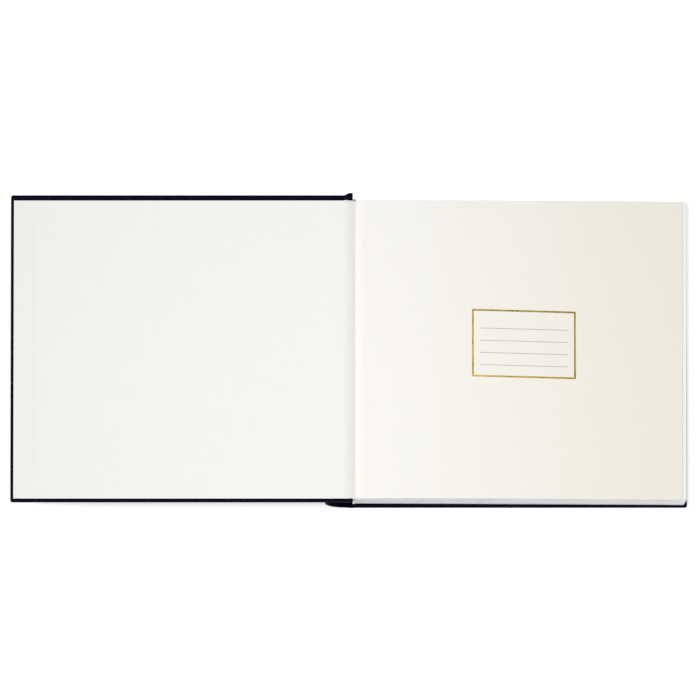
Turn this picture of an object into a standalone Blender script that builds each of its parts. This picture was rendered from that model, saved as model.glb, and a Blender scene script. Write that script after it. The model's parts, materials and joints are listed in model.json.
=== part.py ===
"""Case-bound landscape logbook, lying open at its front endpaper.

The frame: X runs from the front cover (-X) to the fore edge of the text block (+X), Y runs from
tail to head, and Z is up from the surface that the back cover lies on. X = 0 is the gutter.
Every profile is drawn in the XZ plane and extruded along Y, as the book is the same all the way
from tail to head. The front cover's hinge edge is carried by the spine, the spine by the back joint,
and the turning leaves start a little way outside their own folds.
"""

import math

import bmesh
import bpy
from mathutils import Matrix, Vector

MM = 0.001  # every value below is in millimetres and goes into the mesh through this

# Case
COVER_WIDE = 245.0  # a board, from its hinge edge to the fore edge
COVER_HALF_TALL = 115.4
HINGE_EDGE = 4.0  # from the gutter to a board's hinge edge
CLOTH = 0.5
BOARD = 2.4
PASTEDOWN = 0.3
SLIP = 0.1  # clearance between two glued layers
TURN_IN = 15.0  # how far the cloth is folded over the inside of a board
CORNER = 1.6  # corner radius of a covered board
FRONT_LIFT = 19.5  # the open front cover lies level with the top of the block
BACK_HEAD_TRIM = 0.6  # the back cover is cut this much shorter at its head
PASTEDOWN_FORE = 2.2  # cloth border left round a paste-down, at the fore edge
FRONT_BORDERS = (2.3, 4.2)  # the same at tail and head
BACK_BORDERS = (4.2, 4.2)

# Spine, drawn closed and upright, then leant over to where the open front cover carries it
SPINE_CHORD = 24.0
SPINE_BULGE = 6.0
SPINE_HINGE = (-1.5, 0.9)  # X and Z of the back joint's axis
SPINE_LEAN = 40.6  # degrees
SPINE_BOARD = 0.8
SPINE_BOARD_TRIM = 4.5  # degrees left off each end of the spine board

# Text block
LEAF_TAIL = -112.8
LEAF_HEAD = 111.7
BLOCK_FLOOR = 4.45
SECTIONS = 12
TURNING_SECTIONS = 5
LEAF_GAP = 0.12
FREE_SHEET = 0.22  # thickness of the free endpaper
FIRST_SHEET = 0.16  # thickness of the first white leaf
FOLD_START = 4.3  # the two top sheets start here, clear of the front cover's path
FOLD_END = 11.7  # the sewn stretch of a turning leaf, which stays with the block
LEAF_START = 12.1
ENDPAPER_EDGE = 245.6
FORE_EDGE_TOP = 248.7
FORE_EDGE_BOTTOM = 246.6
GUTTER_HIGH = 22.3
CREST_X = 55.0
CREST_HIGH = 23.5
FORE_DROP = 6.7  # how far the arched leaf falls from its crest to the fore edge
RACK = 1.2  # the lower sections lean this far towards the tail at the fore edge
BACK_X = 4.0  # the block's rounded back, at its top and bottom
BACK_ROUND = 1.6  # how much further its middle stands out

# Backing of the block
THREAD_RADIUS = 0.2
THREAD_STATIONS = (-84.0, -42.0, 0.0, 42.0, 84.0)
MULL = 0.3
MULL_INSET = 12.0  # the mull stops short of head and tail
LINING = 0.3
BAND_RADIUS = 0.7
ARC_STEPS = 14


def clear_scene():
    for item in list(bpy.data.objects):
        bpy.data.objects.remove(item, do_unlink=True)


def finish_material(name, colour, roughness):
    material = bpy.data.materials.get(name)
    if material is None:
        material = bpy.data.materials.new(name)
        material.use_nodes = True
        shader = material.node_tree.nodes["Principled BSDF"]
        shader.inputs["Base Color"].default_value = (*colour, 1.0)
        shader.inputs["Roughness"].default_value = roughness
        shader.inputs["Metallic"].default_value = 0.0
    return material


BOOKCLOTH = ((0.006, 0.006, 0.022), 0.75)
GREYBOARD = ((0.28, 0.27, 0.25), 0.9)
CREAM = ((0.86, 0.82, 0.74), 0.8)
WHITE = ((0.9, 0.9, 0.92), 0.8)
GAUZE = ((0.75, 0.72, 0.64), 0.9)
KRAFT = ((0.35, 0.22, 0.12), 0.85)
THREAD = ((0.85, 0.83, 0.76), 0.7)
BAND = ((0.8, 0.8, 0.78), 0.6)


def add_object(name, bm, finish):
    """Turns a bmesh in millimetres into a named object in metres with its own material."""
    bmesh.ops.recalc_face_normals(bm, faces=bm.faces)
    bmesh.ops.scale(bm, vec=Vector((MM, MM, MM)), verts=bm.verts)
    mesh = bpy.data.meshes.new(name)
    bm.to_mesh(mesh)
    bm.free()
    colour, roughness = finish
    mesh.materials.append(finish_material(name, colour, roughness))
    item = bpy.data.objects.new(name, mesh)
    bpy.context.scene.collection.objects.link(item)
    return item


def set_origin(item, x, z):
    """Moves an object's origin onto a joint's axis without moving its shape."""
    place = Vector((x * MM, 0.0, z * MM))
    item.data.transform(Matrix.Translation(-place))
    item.location = place


def extruded(profile, tail, head):
    """A closed XZ outline, as (x, z) points in millimetres, carried from tail to head."""
    bm = bmesh.new()
    ring = [bm.verts.new((x, tail, z)) for x, z in profile]
    face = bm.faces.new(ring)
    grown = bmesh.ops.extrude_face_region(bm, geom=[face])
    moved = [v for v in grown["geom"] if isinstance(v, bmesh.types.BMVert)]
    bmesh.ops.translate(bm, vec=Vector((0.0, head - tail, 0.0)), verts=moved)
    return bm


def box(x0, x1, y0, y1, z0, z1):
    bm = bmesh.new()
    bmesh.ops.create_cube(bm, size=1.0)
    bmesh.ops.scale(bm, vec=Vector((x1 - x0, y1 - y0, z1 - z0)), verts=bm.verts)
    middle = Vector((x0 + x1, y0 + y1, z0 + z1)) / 2
    bmesh.ops.translate(bm, vec=middle, verts=bm.verts)
    return bm


def round_fore_corners(bm, side, radius):
    """Rounds the two upright edges at the fore edge of a board."""
    fore = max(side * v.co.x for v in bm.verts)
    edges = [
        e
        for e in bm.edges
        if all(abs(side * v.co.x - fore) < 1e-6 for v in e.verts)
        and abs(e.verts[0].co.z - e.verts[1].co.z) > 1e-6
    ]
    bmesh.ops.bevel(
        bm, geom=edges, offset=radius, segments=4, profile=0.5, affect="EDGES", material=-1
    )


def add_cutter(name, bm, target):
    cutter = add_object(name, bm, GREYBOARD)
    cutter.hide_render = True
    cutter.display_type = "WIRE"
    cut = target.modifiers.new(name, "BOOLEAN")
    cut.operation = "DIFFERENCE"
    cut.solver = "EXACT"
    cut.object = cutter
    return cutter


def span(side, near, far):
    """Two X values in rising order, for a stretch from near to far on one side of the gutter."""
    return (near, far) if side > 0 else (-far, -near)


def make_cover(name, side, lift, head):
    """One case side: covering cloth with its turn-ins, and the board it wraps."""
    fore = HINGE_EDGE + COVER_WIDE
    tail = -COVER_HALF_TALL
    height = CLOTH + SLIP + BOARD + SLIP + CLOTH
    shell = box(*span(side, HINGE_EDGE, fore), tail, head, lift, lift + height)
    round_fore_corners(shell, side, CORNER)
    cloth = add_object(f"{name}_cover_cloth", shell, BOOKCLOTH)
    pocket = box(
        *span(side, HINGE_EDGE - 1.0, fore - CLOTH),
        tail + CLOTH, head - CLOTH, lift + CLOTH, lift + height - CLOTH,
    )
    round_fore_corners(pocket, side, CORNER - CLOTH)
    window = box(
        *span(side, HINGE_EDGE - 1.0, fore - TURN_IN),
        tail + TURN_IN, head - TURN_IN, lift + CLOTH + BOARD / 2, lift + height + 1.0,
    )
    cutters = [
        add_cutter(f"{name}_pocket_cutter", pocket, cloth),
        add_cutter(f"{name}_window_cutter", window, cloth),
    ]
    inner = CLOTH + SLIP
    board = box(
        *span(side, HINGE_EDGE, fore - inner),
        tail + inner, head - inner, lift + inner, lift + inner + BOARD,
    )
    round_fore_corners(board, side, CORNER - inner)
    return cloth, add_object(f"{name}_board", board, GREYBOARD), cutters


def make_pastedown(name, side, lift, borders):
    """The endpaper half glued to a board, inside borders of cloth at its tail and head."""
    top = lift + 2 * CLOTH + 3 * SLIP + BOARD + PASTEDOWN
    fore = HINGE_EDGE + COVER_WIDE - PASTEDOWN_FORE
    sheet = box(
        *span(side, HINGE_EDGE + 0.4, fore),
        borders[0] - COVER_HALF_TALL, COVER_HALF_TALL - borders[1], top - PASTEDOWN, top,
    )
    return add_object(f"{name}_pastedown", sheet, CREAM)


def arc(radius, half_angle, steps):
    """Points of an arc that bulges towards -X, from its lower end to its upper end, drawn closed."""
    middle_x = SPINE_HINGE[0] + spine_radius() - SPINE_BULGE
    middle_z = SPINE_HINGE[1] + SPINE_CHORD / 2
    found = []
    for k in range(steps + 1):
        turn = half_angle * (2.0 * k / steps - 1.0)
        found.append((middle_x - radius * math.cos(turn), middle_z + radius * math.sin(turn)))
    return found


def spine_radius():
    return ((SPINE_CHORD / 2) ** 2 + SPINE_BULGE**2) / (2 * SPINE_BULGE)


def lean(bm):
    """Leans a spine piece about the back joint, to where the open front cover carries it."""
    hinge = Vector((SPINE_HINGE[0], 0.0, SPINE_HINGE[1]))
    turn = Matrix.Rotation(math.radians(-SPINE_LEAN), 4, "Y")
    bmesh.ops.rotate(bm, cent=hinge, matrix=turn, verts=bm.verts)


def make_spine():
    outer = spine_radius()
    reach = math.asin(SPINE_CHORD / 2 / outer)
    layers = (
        ("spine_cloth", outer, CLOTH, reach, COVER_HALF_TALL, BOOKCLOTH),
        (
            "spine_board", outer - CLOTH - SLIP, SPINE_BOARD,
            reach - math.radians(SPINE_BOARD_TRIM), COVER_HALF_TALL - 1.5, GREYBOARD,
        ),
    )
    made = []
    for name, radius, thick, angle, half, finish in layers:
        skin = arc(radius, angle, ARC_STEPS) + arc(radius - thick, angle, ARC_STEPS)[::-1]
        bm = extruded(skin, -half, half)
        lean(bm)
        made.append(add_object(name, bm, finish))
    return made


def make_joint_cloths():
    half = COVER_HALF_TALL
    back = box(SPINE_HINGE[0] + 0.3, HINGE_EDGE - 0.3, -half, half, 0.0, CLOTH)
    add_object("back_joint_cloth", back, BOOKCLOTH)
    start, rise = (0.3 - HINGE_EDGE, FRONT_LIFT), (-2.4, FRONT_LIFT + 0.8)
    strip = [start, rise, (rise[0], rise[1] + CLOTH), (start[0], start[1] + CLOTH)]
    return add_object("front_joint_cloth", extruded(strip, -half, half), BOOKCLOTH)


def leaf_top(x):
    """Height of the top of the arched block, X in millimetres from the gutter."""
    if x < CREST_X:
        return CREST_HIGH - (CREST_HIGH - GUTTER_HIGH) * ((CREST_X - x) / CREST_X) ** 2
    run = (x - CREST_X) / (FORE_EDGE_TOP - CREST_X)
    return CREST_HIGH - FORE_DROP * run**1.5


def section_level(x, share):
    """Height inside the block of sections, share 0 at its floor and 1 under the first leaf."""
    ceiling = leaf_top(x) - FREE_SHEET - FIRST_SHEET - 2 * LEAF_GAP
    return BLOCK_FLOOR + (ceiling - BLOCK_FLOOR) * share


def block_back(share):
    """X of the block's rounded back at a share of its height."""
    return BACK_X - BACK_ROUND * (1.0 - (2.0 * share - 1.0) ** 2)


def stations(start, end):
    """X values along a leaf, closer together near the gutter."""
    count = max(2, round((end - start) / 14.0))
    return [start + (end - start) * (k / count) for k in range(count + 1)]


def leaf_profile(start, end, top_of, bottom_of, nose=0.0):
    """Outline of a leaf or section; a nose rounds its folded back edge."""
    xs = stations(start + nose, end)
    top = [(x, top_of(x)) for x in xs]
    bottom = [(x, bottom_of(x)) for x in reversed(xs)]
    if nose:
        middle = (top[0][1] + bottom[-1][1]) / 2
        bottom.append((start + 0.3 * nose, middle - 0.35 * nose))
        bottom.append((start + 0.3 * nose, middle + 0.35 * nose))
    return top + bottom


def rack(bm, depth):
    """Leans a leaf towards the tail, more at its fore edge and more lower in the block."""
    for vertex in bm.verts:
        vertex.co.y -= RACK * depth * max(0.0, vertex.co.x) / FORE_EDGE_TOP


def make_section(number):
    """Section 1 is the top one. The first few are cut into a sewn fold and turning leaves."""
    high = 1.0 - (number - 1) / SECTIONS
    low = 1.0 - number / SECTIONS
    middle = (high + low) / 2
    back = block_back(middle)
    fore = FORE_EDGE_BOTTOM + (FORE_EDGE_TOP - FORE_EDGE_BOTTOM) * middle

    def top_of(x):
        return section_level(x, high)

    def bottom_of(x):
        return section_level(x, low) + LEAF_GAP

    nose = (top_of(back) - bottom_of(back)) / 2
    if number > TURNING_SECTIONS:
        stretches = [("", back, fore, nose)]
    else:
        stretches = [("_fold", back, FOLD_END, nose), ("_leaves", LEAF_START, fore, 0.0)]
    for ending, start, end, round_by in stretches:
        bm = extruded(leaf_profile(start, end, top_of, bottom_of, round_by), LEAF_TAIL, LEAF_HEAD)
        rack(bm, 1.0 - middle)
        item = add_object(f"section_{number:02d}{ending}", bm, WHITE)
        if ending == "_leaves":
            set_origin(item, *PAGE_AXIS)


def make_top_sheets():
    """The free endpaper and the first white leaf, each with the strip that stays in the gutter."""
    under_free = FREE_SHEET + LEAF_GAP
    sheets = (
        ("front_endpaper_hinge", "front_free_endpaper", 0.0, FREE_SHEET, ENDPAPER_EDGE, CREAM),
        ("first_leaf_fold", "first_leaf", under_free, FIRST_SHEET, FORE_EDGE_TOP, WHITE),
    )
    for fold, leaf, sunk, thick, fore, finish in sheets:
        for name, start, end in ((fold, FOLD_START, FOLD_END), (leaf, LEAF_START, fore)):
            profile = leaf_profile(
                start, end,
                lambda x: leaf_top(x) - sunk,
                lambda x: leaf_top(x) - sunk - thick,
            )
            item = add_object(name, extruded(profile, LEAF_TAIL, LEAF_HEAD), finish)
            if name == leaf:
                set_origin(item, *PAGE_AXIS)


def back_line(offset, low, high, steps=ARC_STEPS):
    """(x, z) points along the block's rounded back, set off outwards."""
    found = []
    for k in range(steps + 1):
        share = low + (high - low) * k / steps
        found.append((block_back(share) - offset, section_level(0.0, share)))
    return found


def backed_strip(name, offset, thick, tail, head, finish):
    skin = back_line(offset + thick, 0.03, 0.94) + back_line(offset, 0.03, 0.94)[::-1]
    return add_object(name, extruded(skin, tail, head), finish)


def tube(name, line, y, radius, sides, finish):
    """A round cord along an XZ line at one Y, from rings bridged end to end."""
    bm = bmesh.new()
    rings = []
    for k, (x, z) in enumerate(line):
        before, after = line[max(0, k - 1)], line[min(len(line) - 1, k + 1)]
        along = Vector((after[0] - before[0], 0.0, after[1] - before[1])).normalized()
        across = Vector((along.z, 0.0, -along.x))
        ring = []
        for s in range(sides):
            turn = 2.0 * math.pi * s / sides
            place = Vector((x, y, z))
            place += radius * (math.cos(turn) * across + math.sin(turn) * Vector((0.0, 1.0, 0.0)))
            ring.append(bm.verts.new(place))
        rings.append(ring)
    loops = [[bm.edges.new((r[s], r[(s + 1) % sides])) for s in range(sides)] for r in rings]
    for lower, upper in zip(loops, loops[1:]):
        bmesh.ops.bridge_loops(bm, edges=lower + upper)
    bm.faces.new(rings[0])
    bm.faces.new(rings[-1])
    item = add_object(name, bm, finish)
    item.data.shade_smooth()
    return item


def make_backing():
    """Sewing threads, mull and paper lining on the block's back, and a band at head and tail."""
    room = 0.1 + 2 * THREAD_RADIUS + 0.1
    for number, y in enumerate(THREAD_STATIONS, start=1):
        line = back_line(0.1 + THREAD_RADIUS, 0.05, 0.93)
        tube(f"sewing_thread_{number}", line, y, THREAD_RADIUS, 6, THREAD)
    backed_strip(
        "spine_mull", room, MULL, LEAF_TAIL + MULL_INSET, LEAF_HEAD - MULL_INSET, GAUZE
    )
    backed_strip("spine_lining", room + MULL + SLIP, LINING, LEAF_TAIL + 1, LEAF_HEAD - 1, KRAFT)
    reach = BAND_RADIUS + 0.3
    for name, y in (("head_band", LEAF_HEAD + reach), ("tail_band", LEAF_TAIL - reach)):
        tube(name, back_line(-1.0, 0.04, 0.96), y, BAND_RADIUS, 8, BAND)


def make_back_free_endpaper():
    top = BLOCK_FLOOR - LEAF_GAP
    bottom = 2 * CLOTH + 3 * SLIP + BOARD + PASTEDOWN + SLIP
    sheet = box(BACK_X, FORE_EDGE_BOTTOM - 0.6, LEAF_TAIL, LEAF_HEAD, bottom, top)
    rack(sheet, 1.0)
    add_object("back_free_endpaper", sheet, CREAM)


# X and Z of the three axes. Each runs along Y.
PAGE_AXIS = (0.0, 23.9)
COVER_AXIS = (-8.45, 24.31)

clear_scene()
make_cover("back", 1, 0.0, COVER_HALF_TALL - BACK_HEAD_TRIM)
front_cloth, front_board, front_cutters = make_cover("front", -1, FRONT_LIFT, COVER_HALF_TALL)
make_pastedown("back", 1, 0.0, BACK_BORDERS)
front_sheet = make_pastedown("front", -1, FRONT_LIFT, FRONT_BORDERS)
spine_pieces = make_spine()
front_strip = make_joint_cloths()
make_back_free_endpaper()
for section in range(1, SECTIONS + 1):
    make_section(section)
make_top_sheets()
make_backing()

for piece in (front_cloth, front_board, front_sheet, front_strip, *front_cutters):
    set_origin(piece, *COVER_AXIS)
for piece in spine_pieces:
    set_origin(piece, *SPINE_HINGE)
    piece.data.shade_smooth()
    piece.data.set_sharp_from_angle(angle=math.radians(40))
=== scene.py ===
# %% [markdown]
# # A cloth-bound logbook, open at its front endpaper
#
# The imported model is a plain, working frame: boards, cloth, leaves and hinges at their real sizes.
# This lesson dresses that frame. Each piece of paper, cloth, thread and foil is modelled where the
# frame says it is and given a procedural finish; many are also told which part of the frame they move with.

import json
import math
import random

import bmesh
import bpy
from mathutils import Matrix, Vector


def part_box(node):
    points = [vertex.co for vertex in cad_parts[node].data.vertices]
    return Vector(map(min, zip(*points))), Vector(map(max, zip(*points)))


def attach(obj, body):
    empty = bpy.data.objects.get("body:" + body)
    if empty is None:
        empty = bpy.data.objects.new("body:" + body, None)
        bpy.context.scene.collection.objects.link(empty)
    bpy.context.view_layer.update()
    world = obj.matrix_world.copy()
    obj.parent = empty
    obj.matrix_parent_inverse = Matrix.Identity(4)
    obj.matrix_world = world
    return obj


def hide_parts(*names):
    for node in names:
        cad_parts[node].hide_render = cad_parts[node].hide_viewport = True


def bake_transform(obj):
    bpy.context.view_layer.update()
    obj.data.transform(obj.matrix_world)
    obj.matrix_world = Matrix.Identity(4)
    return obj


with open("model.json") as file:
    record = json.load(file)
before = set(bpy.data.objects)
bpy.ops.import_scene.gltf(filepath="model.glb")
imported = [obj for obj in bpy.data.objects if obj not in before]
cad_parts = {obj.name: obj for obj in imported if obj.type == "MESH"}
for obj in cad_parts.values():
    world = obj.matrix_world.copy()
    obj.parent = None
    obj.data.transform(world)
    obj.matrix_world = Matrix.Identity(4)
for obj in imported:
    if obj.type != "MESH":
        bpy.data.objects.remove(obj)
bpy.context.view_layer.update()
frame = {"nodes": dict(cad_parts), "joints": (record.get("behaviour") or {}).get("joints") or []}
MM = 0.001

# %% [markdown]
# ## Reading sizes from the frame
#
# Every place below is worked out from the frame, so that a change there carries through. A leaf is
# bent, so its box isn't enough: `leaf_line` reads the top and bottom of its profile, station by
# station, from the gutter to the fore edge.

# %% Sizes read from the frame
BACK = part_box("back_cover_cloth")
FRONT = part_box("front_cover_cloth")
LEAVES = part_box("front_free_endpaper")
WHITE_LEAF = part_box("first_leaf")
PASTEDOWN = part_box("front_pastedown")
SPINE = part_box("spine_cloth")
BACK_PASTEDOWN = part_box("back_pastedown")
JOINTS = {joint["name"]: joint for joint in frame["joints"]}
SPINE_AXIS = Vector(JOINTS["spine_tilt"]["pos_m"])
TAIL, HEAD = LEAVES[0].y, LEAVES[1].y


def leaf_line(*nodes):
    """(x, bottom z, top z) along the profile of one or more nodes in a row, from the gutter out."""
    found = {}
    for node in nodes:
        for vertex in frame["nodes"][node].data.vertices:
            key = round(vertex.co.x / MM, 2)
            low, high = found.get(key, (1.0, 0.0))
            found[key] = (min(low, vertex.co.z), max(high, vertex.co.z))
    return [(x * MM, *found[x]) for x in sorted(found)]


def between(line, x, column):
    """Reads a profile at any x on a smooth curve; column 1 is its bottom and 2 its top."""
    if x <= line[0][0]:
        return line[0][column]
    last = len(line) - 1
    for k in range(last):
        (x0, x1), (z0, z1) = (line[k][0], line[k + 1][0]), (line[k][column], line[k + 1][column])
        if x <= x1:
            before, after = line[max(0, k - 1)], line[min(last, k + 2)]
            reach = x1 - x0
            rise0 = (z1 - before[column]) / (x1 - before[0]) * reach
            rise1 = (after[column] - z0) / (after[0] - x0) * reach
            t = (x - x0) / reach
            bend = (2 * t**3 - 3 * t**2 + 1) * z0 + (3 * t**2 - 2 * t**3) * z1
            return bend + (t**3 - 2 * t**2 + t) * rise0 + (t**3 - t**2) * rise1
    return line[-1][column]


BLOCK_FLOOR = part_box("section_12")[0].z
SETTLE_START, SETTLE_END = 10.0 * MM, 4.0 * MM
SETTLE = 0.6 * MM


def settled(x, z):
    """The sewn edge of the block is pressed flatter than the leaves, most at its top."""
    share = max(0.0, (z - BLOCK_FLOOR) / (TOP_LINE[0][2] - BLOCK_FLOOR))
    near = min(1.0, max(0.0, (SETTLE_START - x) / (SETTLE_START - SETTLE_END)))
    return z - SETTLE * share * near * near * (3.0 - 2.0 * near)


TOP_LINE = leaf_line("front_endpaper_hinge", "front_free_endpaper")
WHITE_LINE = leaf_line("first_leaf_fold", "first_leaf")
print("top leaf", round(TOP_LINE[0][2] / MM, 2), "to", round(TOP_LINE[-1][2] / MM, 2), "mm high")

# %% [markdown]
# ## Helpers for finishes
#
# A finish is a small tree of shader nodes. These helpers keep each tree readable: one makes the
# material and its shader, one adds a node and sets its sockets, and one turns a height into a bump.

# %% Finish helpers
class Finish:
    """A material with a Principled shader, and short ways to add and link nodes."""

    def __init__(self, name, colour, roughness, **sockets):
        self.material = bpy.data.materials.new(name)
        self.material.use_nodes = True
        self.tree = self.material.node_tree
        self.shader = self.tree.nodes["Principled BSDF"]
        self.shader.inputs["Base Color"].default_value = (*colour, 1.0)
        self.shader.inputs["Roughness"].default_value = roughness
        for socket, value in sockets.items():
            self.shader.inputs[socket.replace("_", " ")].default_value = value

    def node(self, kind, **settings):
        made = self.tree.nodes.new(kind)
        for key, value in settings.items():
            if hasattr(made, key):
                setattr(made, key, value)
            else:
                made.inputs[key.replace("_", " ")].default_value = value
        return made

    def link(self, output, socket):
        self.tree.links.new(output, socket)
        return output

    def place(self, scale=(1.0, 1.0, 1.0), turn=0.0, uv=None):
        """Coordinates in metres on the object, or on a UV map in metres, scaled and turned."""
        if uv:
            source = self.node("ShaderNodeUVMap", uv_map=uv).outputs["UV"]
        else:
            source = self.node("ShaderNodeTexCoord").outputs["Object"]
        mapping = self.node("ShaderNodeMapping")
        mapping.inputs["Scale"].default_value = scale
        mapping.inputs["Rotation"].default_value = (0.0, 0.0, turn)
        self.link(source, mapping.inputs["Vector"])
        return mapping.outputs["Vector"]

    def noise(self, vector, scale, detail=3.0, roughness=0.5):
        made = self.node("ShaderNodeTexNoise", Scale=scale, Detail=detail, Roughness=roughness)
        self.link(vector, made.inputs["Vector"])
        return made.outputs["Fac"]

    def maths(self, operation, first, second=0.0, third=0.0):
        made = self.node("ShaderNodeMath", operation=operation)
        for socket, value in zip(made.inputs, (first, second, third)):
            if isinstance(value, (int, float)):
                socket.default_value = value
            else:
                self.link(value, socket)
        return made.outputs[0]

    def ramp(self, value, low, high, dark, light):
        made = self.node("ShaderNodeValToRGB")
        first, last = made.color_ramp.elements
        first.position, last.position = low, high
        first.color, last.color = (*dark, 1.0), (*light, 1.0)
        self.link(value, made.inputs["Fac"])
        return made.outputs["Color"]

    def stretch(self, value, from_low, from_high, to_low, to_high):
        made = self.node("ShaderNodeMapRange")
        for key, number in zip(
            ("From Min", "From Max", "To Min", "To Max"), (from_low, from_high, to_low, to_high)
        ):
            made.inputs[key].default_value = number
        self.link(value, made.inputs["Value"])
        return made.outputs["Result"]

    def bump(self, height, distance, strength=1.0):
        made = self.node("ShaderNodeBump", Distance=distance, Strength=strength)
        self.link(height, made.inputs["Height"])
        self.link(made.outputs["Normal"], self.shader.inputs["Normal"])

    def colour(self, output):
        self.link(output, self.shader.inputs["Base Color"])

    def roughness(self, output):
        self.link(output, self.shader.inputs["Roughness"])


def mixed(dark, light, share):
    return tuple(a + (b - a) * share for a, b in zip(dark, light))


# %% [markdown]
# ## Book cloth
#
# A case is covered in book cloth: fine cotton in a plain weave, dyed navy and starched so that glue
# doesn't come through. Two sine waves, one along each set of threads, give the weave. Where their
# product is positive the warp lies on top, and elsewhere the weft does. The waves read a UV map in
# metres, so that the threads keep their size round the edges of the board and over the spine.

# %% Book cloth
THREAD_PITCH = 0.55 * MM
CLOTH_UV = "cloth"


def make_bookcloth():
    cloth = Finish("navy_bookcloth", (0.004, 0.0035, 0.014), 0.8, Specular_IOR_Level=0.03)
    cloth.shader.inputs["Sheen Weight"].default_value = 0.02
    cloth.shader.inputs["Sheen Roughness"].default_value = 0.45
    cloth.shader.inputs["Sheen Tint"].default_value = (0.35, 0.38, 0.7, 1.0)
    flat = cloth.place(uv=CLOTH_UV)
    axes = cloth.node("ShaderNodeSeparateXYZ")
    cloth.link(flat, axes.inputs["Vector"])
    waver = cloth.stretch(cloth.noise(flat, 180.0, 2.0), 0.3, 0.7, -0.35, 0.35)
    waves = []
    for axis in ("X", "Y"):
        turns = cloth.maths("MULTIPLY", axes.outputs[axis], math.pi / THREAD_PITCH)
        waves.append(cloth.maths("SINE", cloth.maths("ADD", turns, waver)))
    over = cloth.maths("GREATER_THAN", cloth.maths("MULTIPLY", *waves), 0.0)
    sizes = [cloth.maths("ABSOLUTE", wave) for wave in waves]
    round_on_top = [cloth.maths("POWER", size, 0.35) for size in sizes]
    warp = cloth.maths("MULTIPLY", sizes[0], round_on_top[1])
    weft = cloth.maths("MULTIPLY", round_on_top[0], sizes[1])
    lifted = cloth.maths("MULTIPLY", warp, over)
    other = cloth.maths("MULTIPLY", weft, cloth.maths("SUBTRACT", 1.0, over))
    weave = cloth.maths("ADD", lifted, other)
    slubs = cloth.noise(cloth.place((60.0, 900.0, 1.0), uv=CLOTH_UV), 1.0, 2.0)
    height = cloth.maths("ADD", weave, cloth.maths("MULTIPLY", slubs, 0.7))
    cloth.bump(height, 0.12 * MM, 0.7)
    wear = cloth.noise(flat, 25.0, 4.0)
    # Painted shade: the colour is darker where the weave is low, in the hollows between the threads; the
    # wear noise adds a random tone.
    shade = cloth.maths("ADD", cloth.maths("MULTIPLY", weave, 0.55), cloth.maths("MULTIPLY", wear, 0.45))
    cloth.colour(cloth.ramp(shade, 0.15, 0.85, (0.0014, 0.0012, 0.006), (0.006, 0.0053, 0.02)))
    cloth.roughness(cloth.stretch(wear, 0.3, 0.7, 0.68, 0.86))
    return cloth.material


BOOKCLOTH = make_bookcloth()
print("book cloth threads", round(THREAD_PITCH / MM, 2), "mm apart")

# %% [markdown]
# ## Papers
#
# The endpapers are a heavy cream paper and the leaves a white writing paper. Both are uncoated, so
# they are matt, with short fibres that show as a faint mottle. A paper is a warm or cool white, a
# fibre noise at under a millimetre for its bump, and a slow cloudiness in its colour, as when a sheet
# is held up to the light. The free endpaper also carries painted shade: its colour is made a little
# darker and warmer towards its fore edge, a painted falloff and warm cast of the light there.

# %% Papers
def make_paper(name, dark, light, fibre, cloud_size, roughness, painted_shade_falloff=None):
    """The last argument, if given, is (start x, end x, colour): painted shade, the sheet's colour moves
    towards that darker, warmer colour along x, as the light falls off.
    """
    paper = Finish(name, mixed(dark, light, 0.5), roughness, Specular_IOR_Level=0.25)
    spot = paper.place()
    cloud = paper.noise(spot, 1.0 / cloud_size, 4.0, 0.6)
    fibres = paper.noise(paper.place((1.0, 2.2, 1.0), turn=0.3), 1.0 / fibre, 3.0, 0.65)
    shade = paper.maths(
        "ADD", paper.maths("MULTIPLY", cloud, 0.6), paper.maths("MULTIPLY", fibres, 0.4)
    )
    colour = paper.ramp(shade, 0.32, 0.68, dark, light)
    # Painted shade: from start x to end x the colour is multiplied towards a darker, warmer colour, for the
    # light falling off towards the fore edge.
    if painted_shade_falloff:
        start, end, painted_falloff_colour = painted_shade_falloff
        axes = paper.node("ShaderNodeSeparateXYZ")
        paper.link(spot, axes.inputs["Vector"])
        share = paper.stretch(axes.outputs["X"], start, end, 0.0, 1.0)
        mix = paper.node("ShaderNodeMix", data_type="RGBA", blend_type="MULTIPLY")
        paper.link(share, mix.inputs["Factor"])
        paper.link(colour, mix.inputs["A"])
        mix.inputs["B"].default_value = (*painted_falloff_colour, 1.0)
        colour = mix.outputs["Result"]
    paper.colour(colour)
    tooth = paper.noise(spot, 2.2 / fibre, 2.0, 0.5)
    height = paper.maths("ADD", fibres, paper.maths("MULTIPLY", tooth, 0.5))
    paper.bump(height, 0.05 * MM, 0.35)
    return paper.material


ENDPAPER = make_paper(
    "cream_endpaper", (0.874, 0.858, 0.812), (0.888, 0.873, 0.83), 0.9 * MM, 9 * MM, 0.82
)
# The free endpaper carries painted shade: darker and warmer from 60 to 190 mm, towards its fore edge.
FREE_ENDPAPER = make_paper(
    "cream_free_endpaper", (0.884, 0.862, 0.81), (0.897, 0.876, 0.828), 0.9 * MM, 9 * MM, 0.82,
    painted_shade_falloff=(60 * MM, 190 * MM, (0.985, 0.962, 0.915)),
)
TEXT_PAPER = make_paper(
    "white_text_paper", (0.905, 0.898, 0.918), (0.935, 0.928, 0.948), 0.7 * MM, 7 * MM, 0.85
)
print("papers", ENDPAPER.name, FREE_ENDPAPER.name, TEXT_PAPER.name)

# %% [markdown]
# ## Board, mull, lining and thread
#
# These lie inside the case or behind the block, and show only from the head, the tail or the back.
# Greyboard is pressed from waste paper, so it is speckled. Mull is an open cotton gauze, kraft is a
# brown paper with long fibres, and the sewing thread and headbands are twisted.

# %% Inner finishes
def make_greyboard():
    board = Finish("greyboard", (0.27, 0.26, 0.24), 0.92)
    spot = board.place((1.0, 1.0, 5.0))
    specks = board.noise(spot, 900.0, 3.0, 0.7)
    board.colour(board.ramp(specks, 0.3, 0.72, (0.16, 0.155, 0.145), (0.42, 0.4, 0.37)))
    board.bump(specks, 0.12 * MM, 0.5)
    return board.material


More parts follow.
